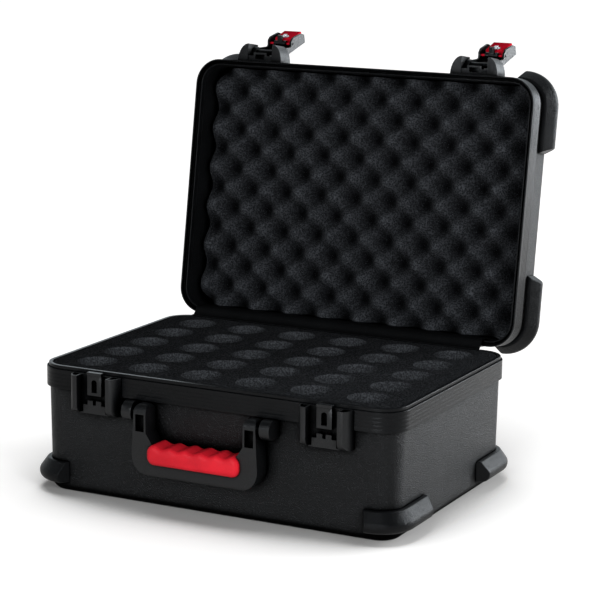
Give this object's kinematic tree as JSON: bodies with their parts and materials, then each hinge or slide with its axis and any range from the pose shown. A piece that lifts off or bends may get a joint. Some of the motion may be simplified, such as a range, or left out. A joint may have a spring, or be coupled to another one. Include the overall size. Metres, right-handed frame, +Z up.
{
  "type": "microphone case",
  "caption": "Moulded carrying case with a hinged lid, two locking latches, a drop handle and a foam tray of round drops for hand-held microphones.",
  "frame": {"origin": "middle of the flat underside of the base shell", "axes": "+X along the front to the right, +Y from the front to the hinge, +Z up; the lid is drawn open"},
  "size_m": [0.5174, 0.5471, 0.5414],
  "materials": {
    "textured_shell": "leather grain",
    "smooth_valance": "satin",
    "cut_foam": "open-cell foam",
    "wave_foam": "open-cell foam",
    "black_nylon": "satin",
    "red_rubber": "soft satin",
    "red_plastic": "gloss",
    "steel": "plated",
    "flap": "smooth vinyl"
  },
  "bodies": {
    "base": {"base_shell": "textured_shell", "base_valance": "smooth_valance", "base_pad_foam": "cut_foam", "microphone_foam": "cut_foam", "hinge_base_leaf": "steel", "hinge_pin": "steel", "hinge_flap": "flap", "base_bumper_front_left": "textured_shell", "base_bumper_rear_left": "textured_shell", "latch_keeper_left": "black_nylon", "keeper_post_left": "black_nylon", "handle_bracket_left": "black_nylon", "handle_pin_left": "steel", "base_bumper_front_right": "textured_shell", "base_bumper_rear_right": "textured_shell", "latch_keeper_right": "black_nylon", "keeper_post_right": "black_nylon", "handle_bracket_right": "black_nylon", "handle_pin_right": "steel"},
    "lid": {"lid_shell": "textured_shell", "lid_valance": "smooth_valance", "lid_foam": "wave_foam", "hinge_lid_leaf": "steel", "lid_bumper_front_left": "textured_shell", "lid_bumper_rear_left": "textured_shell", "latch_housing_left": "black_nylon", "lever_pin_left": "steel", "lid_bumper_front_right": "textured_shell", "lid_bumper_rear_right": "textured_shell", "latch_housing_right": "black_nylon", "lever_pin_right": "steel"},
    "handle": {"handle_frame": "black_nylon", "handle_grip": "red_rubber"},
    "lever_left": {"latch_lever_left": "black_nylon", "lock_housing_left": "red_plastic", "claw_pin_left": "red_plastic"},
    "claw_left": {"latch_claw_left": "black_nylon"},
    "lock_left": {"lock_barrel_left": "steel"},
    "lever_right": {"latch_lever_right": "black_nylon", "lock_housing_right": "red_plastic", "claw_pin_right": "red_plastic"},
    "claw_right": {"latch_claw_right": "black_nylon"},
    "lock_right": {"lock_barrel_right": "steel"}
  },
  "joints": [
    {"name": "lid_hinge", "type": "hinge", "parent": "base", "child": "lid", "pos_m": [0, 0.1787, 0.16], "axis": [1, 0, 0], "range_deg": [0, 98.8], "deforming": ["hinge_flap"]},
    {"name": "handle_swing", "type": "hinge", "parent": "base", "child": "handle", "pos_m": [-0.008, -0.1865, 0.1235], "axis": [-1, 0, 0], "range_deg": [0, 100]},
    {"name": "lever_left_pivot", "type": "hinge", "parent": "lid", "child": "lever_left", "pos_m": [-0.157, 0.26242, 0.5178], "axis": [1, 0, 0], "range_deg": [0, 155.7]},
    {"name": "claw_left_pivot", "type": "hinge", "parent": "lever_left", "child": "claw_left", "pos_m": [-0.157, 0.30343, 0.5271], "axis": [1, 0, 0], "range_deg": [0, 12]},
    {"name": "lock_left_turn", "type": "hinge", "parent": "lever_left", "child": "lock_left", "pos_m": [-0.157, 0.31832, 0.5333], "axis": [0, 0.2672, -0.9636], "range_deg": [0, 90]},
    {"name": "lever_right_pivot", "type": "hinge", "parent": "lid", "child": "lever_right", "pos_m": [0.157, 0.26242, 0.5178], "axis": [1, 0, 0], "range_deg": [0, 155.7]},
    {"name": "claw_right_pivot", "type": "hinge", "parent": "lever_right", "child": "claw_right", "pos_m": [0.157, 0.30343, 0.5271], "axis": [1, 0, 0], "range_deg": [0, 12]},
    {"name": "lock_right_turn", "type": "hinge", "parent": "lever_right", "child": "lock_right", "pos_m": [0.157, 0.31832, 0.5333], "axis": [0, 0.2672, -0.9636], "range_deg": [0, 90]}
  ]
}
